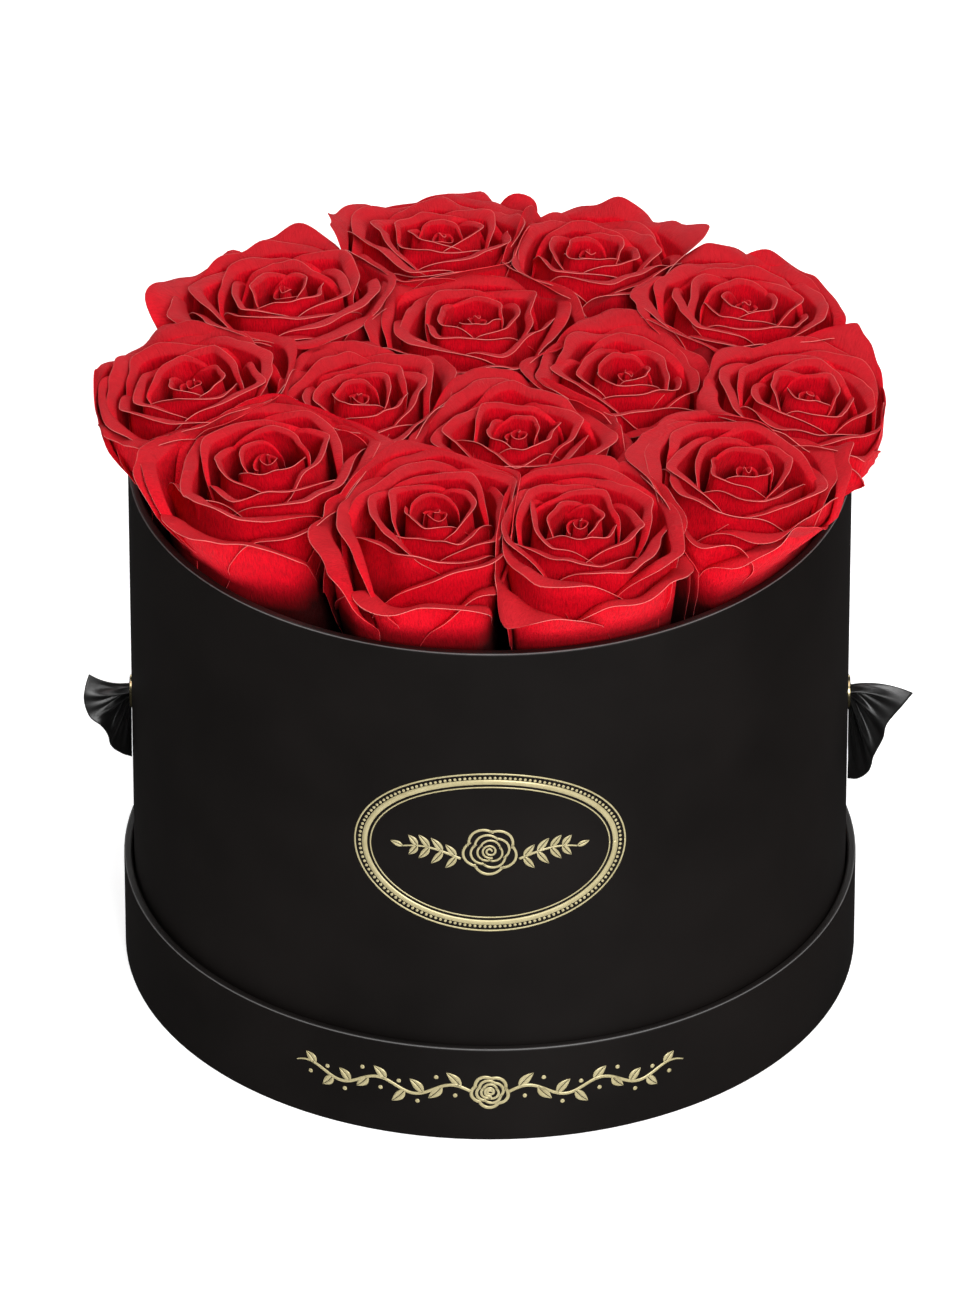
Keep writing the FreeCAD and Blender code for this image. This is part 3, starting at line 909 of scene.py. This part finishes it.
class Artwork:
    """Flat drawing in millimetres along the wall and up it, pressed on a round wall as thin foil."""

    def __init__(self):
        self.points = []
        self.faces = []

    def add(self, rows):
        """A strip of quads: rows is an array of cross rows of points."""
        start = sum(len(p) for p in self.points)
        count, across = rows.shape[:2]
        self.points.append(rows.reshape(-1, 2))
        self.faces.append(grid_faces(count, across, start))

    def stroke(self, line, width):
        """A line of even or changing width."""
        line = np.asarray(line, dtype=float)
        tangent = np.gradient(line, axis=0)
        tangent /= np.maximum(np.linalg.norm(tangent, axis=1), 1e-9)[:, None]
        normal = np.stack([tangent[:, 1], -tangent[:, 0]], axis=-1)
        half = np.broadcast_to(np.asarray(width, dtype=float) / 2, len(line))[:, None]
        self.add(np.stack([line + normal * half, line - normal * half], axis=1))

    def ring(self, half_width, half_height, width):
        self.stroke(oval(half_width, half_height, 181), width)

    def dot(self, centre, radius):
        sizes = np.array([0.02, 1.0])[:, None, None] * radius
        self.add(oval(1, 1, 15)[None] * sizes + np.asarray(centre))

    def leaf(self, foot, heading, length, width, bend):
        """A filled leaf with a slit for its midrib; heading in degrees."""
        s = np.linspace(0, 1, 15)
        turn = math.radians(heading)
        line = np.stack([length * s, bend * length * s * (1 - s)], axis=-1)
        belly = width / 2 * np.sin(math.pi * s**0.8) ** 0.9 + 0.02
        slit = np.minimum(0.11, 0.45 * belly)
        spin = np.array([[math.cos(turn), math.sin(turn)], [-math.sin(turn), math.cos(turn)]])
        for way in (1, -1):
            inner = line + np.stack([0 * s, way * slit], axis=-1)
            outer = line + np.stack([0 * s, way * belly], axis=-1)
            pair = [outer, inner] if way > 0 else [inner, outer]
            self.add(np.stack(pair, axis=1) @ spin + np.asarray(foot))

    def press(self, name, radius, height, replaced, body, material):
        """Wraps the drawing round a wall of that radius, with its middle at that height on the front."""
        flat = np.concatenate(self.points)
        angle = flat[:, 0] / radius
        points = np.stack([radius * np.sin(angle), -radius * np.cos(angle), height + flat[:, 1]], axis=-1)
        piece = make_object(name, points * MM, np.concatenate(self.faces), [material])
        face_outwards(piece)
        solidify(piece, FOIL * MM, 1.0)
        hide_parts(replaced)
        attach(piece, body)


def face_outwards(piece):
    """Turns every face so that its normal points away from the axis."""
    mesh = piece.data
    turned = [p.index for p in mesh.polygons if p.normal.dot(Vector((p.center.x, p.center.y, 0))) < 0]
    for index in turned:
        mesh.polygons[index].flip()
    mesh.update()


def spiral_rose(art, centre, size, line):
    """A rose of that radius drawn with a few arcs round a small curl; line is the stroke's width."""
    centre = np.asarray(centre, dtype=float)
    curl = np.linspace(0, 3.6 * math.pi, 60)
    art.stroke(centre + polar(curl, size * (0.06 + 0.022 * curl)), line)
    for ring, (radius, petals, turn) in enumerate([(0.46, 3, 0.4), (0.70, 4, 1.1), (0.97, 5, 0.2)]):
        span = 2 * math.pi / petals
        for k in range(petals):
            a = np.linspace(-0.04, 1.12, 30)
            swell = size * radius * (0.86 + 0.16 * np.sin(math.pi * np.clip(a, 0, 1)) + 0.03 * a)
            art.stroke(centre + polar(turn + (k + a) * span, swell), line * (1 + 0.15 * ring))


def emblem_art():
    """An oval frame with a row of pearls, round a rose between two leaf sprigs."""
    art = Artwork()
    art.ring(37.7, 25.5, 0.45)
    art.ring(34.9, 22.9, 1.5)
    art.ring(33.2, 21.2, 0.35)
    for pearl in catmull(oval(36.35, 24.2, 97), 141)[:-1]:
        art.dot(pearl, 0.42)
    spiral_rose(art, (0, 0.4), 7.4, 0.55)
    for way in (-1, 1):
        s = np.linspace(0, 1, 40)
        stem = np.stack([way * (8.0 + 16.0 * s), -2.2 + 3.2 * np.sin(2.2 * s)], axis=-1)
        art.stroke(stem, 0.75 - 0.35 * s)
        for k, (share, length) in enumerate([(0.10, 4.8), (0.32, 5.2), (0.54, 4.8), (0.76, 4.0)]):
            foot = stem[int(share * (len(stem) - 1))]
            for up in (1, -1):
                heading = 52 * up if way > 0 else 180 - 52 * up
                art.leaf(foot, heading, length, 1.9, 0.12 * up * way)
        art.leaf(stem[-1], 20 if way > 0 else 160, 3.6, 1.6, 0.0)
    return art


def band_art():
    """A running vine with leaves and berries, and a small rose in its middle."""
    art = Artwork()
    rose_size, half_length, wavelength, swing = 5.2, 56.0, 21.0, 1.9
    for way in (-1, 1):
        s = np.linspace(rose_size, half_length, 160)
        vine = np.stack([way * s, swing * np.sin(2 * math.pi * (s - rose_size) / wavelength)], axis=-1)
        art.stroke(vine, np.interp(s, [rose_size, half_length - 8, half_length], [0.9, 0.9, 0.3]))
        for k in range(9):
            at = 8.0 + k * wavelength / 4
            foot = np.array([way * at, swing * math.sin(2 * math.pi * (at - rose_size) / wavelength)])
            up = 1 if k % 2 == 0 else -1
            heading = 48 * up if way > 0 else 180 - 48 * up
            art.leaf(foot, heading, 6.0 - 0.2 * k, 2.6, 0.2 * up * way)
            art.dot(foot + np.array([way * 1.6, -up * 2.9]), 0.62)
    spiral_rose(art, (0, 0), rose_size, 0.7)
    return art


def make_artwork():
    material = foil_material()
    emblem_art().press("emblem_gold", BOX_RADIUS, EMBLEM_HEIGHT, "emblem_foil", "box", material)
    band_art().press("band_gold", LID_RADIUS, BAND_HEIGHT, "band_foil", "lid_tray", material)


# ---------------------------------------------------------------- CAD nodes that stay


def dress(names, material):
    """Gives CAD nodes their material."""
    for name in names:
        mesh = frame["nodes"][name].data
        mesh.materials.clear()
        mesh.materials.append(material)


def dress_nodes():
    box_paper = paper_material("box_paper", PAPER_TONE, 0.5, (BOX_RADIUS, RIM))
    lid_paper = paper_material("lid_paper", PAPER_TONE, 0.5, (LID_RADIUS, LID_HIGH.z))
    boards = ["box_wall_board", "box_bottom_board", "lid_wall_board", "lid_disc_board"]
    dress(["box_wall_paper", "box_bottom_paper"], box_paper)
    dress(["lid_wall_paper", "lid_top_paper"], lid_paper)
    dress(["box_lining_paper"], paper_material("lining_paper", LINING_TONE, 0.6))
    dress(boards, greyboard_material())
    dress([name for name in frame["nodes"] if name.startswith("eyelet")], brass_material())
    dress(["foam_block"], foam_material())
    dress([name for name in frame["nodes"] if name.endswith("_stem")], stem_material())


# ---------------------------------------------------------------- stage, light, camera, in metres

FLOOR_HALF = 20.0
FLOOR_DROP = 0.0002
FLOOR_GLOW = 0.65
WORLD_GLOW = 0.035
LIGHT_TARGET = (0, 0, 0.12)
CAMERA_PLACE = (-0.0011, -3.041, 2.037)
CAMERA_TILT = math.radians(57.44)
# lens and sensor in millimetres
CAMERA_LENS = 359.7
CAMERA_SENSOR = 36


def make_stage():
    material, tree, shader = new_material("studio_floor")
    faint = scaled_noise(tree, object_coordinates(tree), EVEN, 3, 2)
    colour = ramp(tree, faint, (0.3, grey(0.86)), (0.7, grey(0.88)))
    connect(tree, colour, shader.inputs["Base Color"])
    shader.inputs["Roughness"].default_value = 0.8
    shader.inputs["Emission Color"].default_value = grey(1.0)
    shader.inputs["Emission Strength"].default_value = FLOOR_GLOW
    corners = [(x * FLOOR_HALF, y * FLOOR_HALF, 0) for x, y in ((-1, -1), (1, -1), (1, 1), (-1, 1))]
    floor = make_object("floor", corners, [(0, 1, 2, 3)], [material], smooth=False)
    floor.location.z = -FLOOR_DROP
    floor.visible_glossy = False
    floor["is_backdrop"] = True


def area_light(name, place, size, radiance):
    """A rectangular softbox; its radiance sets the power, so that size changes only its softness."""
    light = bpy.data.lights.new(name, "AREA")
    light.shape = "RECTANGLE"
    light.size, light.size_y = size
    light.energy = radiance * math.pi * size[0] * size[1]
    lamp = bpy.data.objects.new(name, light)
    lamp.location = place
    lamp.rotation_euler = (Vector(LIGHT_TARGET) - Vector(place)).to_track_quat("-Z", "Y").to_euler()
    bpy.context.collection.objects.link(lamp)


def make_light():
    world = bpy.data.worlds.new("studio")
    world.use_nodes = True
    background = world.node_tree.nodes["Background"]
    background.inputs["Color"].default_value = grey(1.0)
    background.inputs["Strength"].default_value = WORLD_GLOW
    bpy.context.scene.world = world
    area_light("front", (0.72, -2.25, 1.5), (1.1, 1.2), 14.4)
    area_light("overhead", (0.0, -0.1, 1.6), (1.2, 1.0), 4.3)
    area_light("back", (0, 1.8, 0.6), (3.2, 0.5), 2.5)


def make_camera():
    camera = bpy.data.cameras.new("camera")
    camera.lens = CAMERA_LENS
    camera.sensor_width = CAMERA_SENSOR
    camera.sensor_fit = "AUTO"
    rig = bpy.data.objects.new("camera", camera)
    rig.location = CAMERA_PLACE
    rig.rotation_euler = (CAMERA_TILT, 0, 0)
    bpy.context.collection.objects.link(rig)
    scene = bpy.context.scene
    scene.camera = rig
    scene.view_settings.view_transform = "Standard"
    scene.view_settings.look = "None"


def write_sizes():
    """Works out the CAD model's box and the visual model's box."""
    sizes = {"at_load": SIZE_AT_LOAD, "at_finish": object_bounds()}
    plain = {name: [[float(v) for v in corner] for corner in box] for name, box in sizes.items()}


make_camera()
make_stage()
make_light()
dress_nodes()
make_roses()
make_ribbons()
make_artwork()
write_sizes()
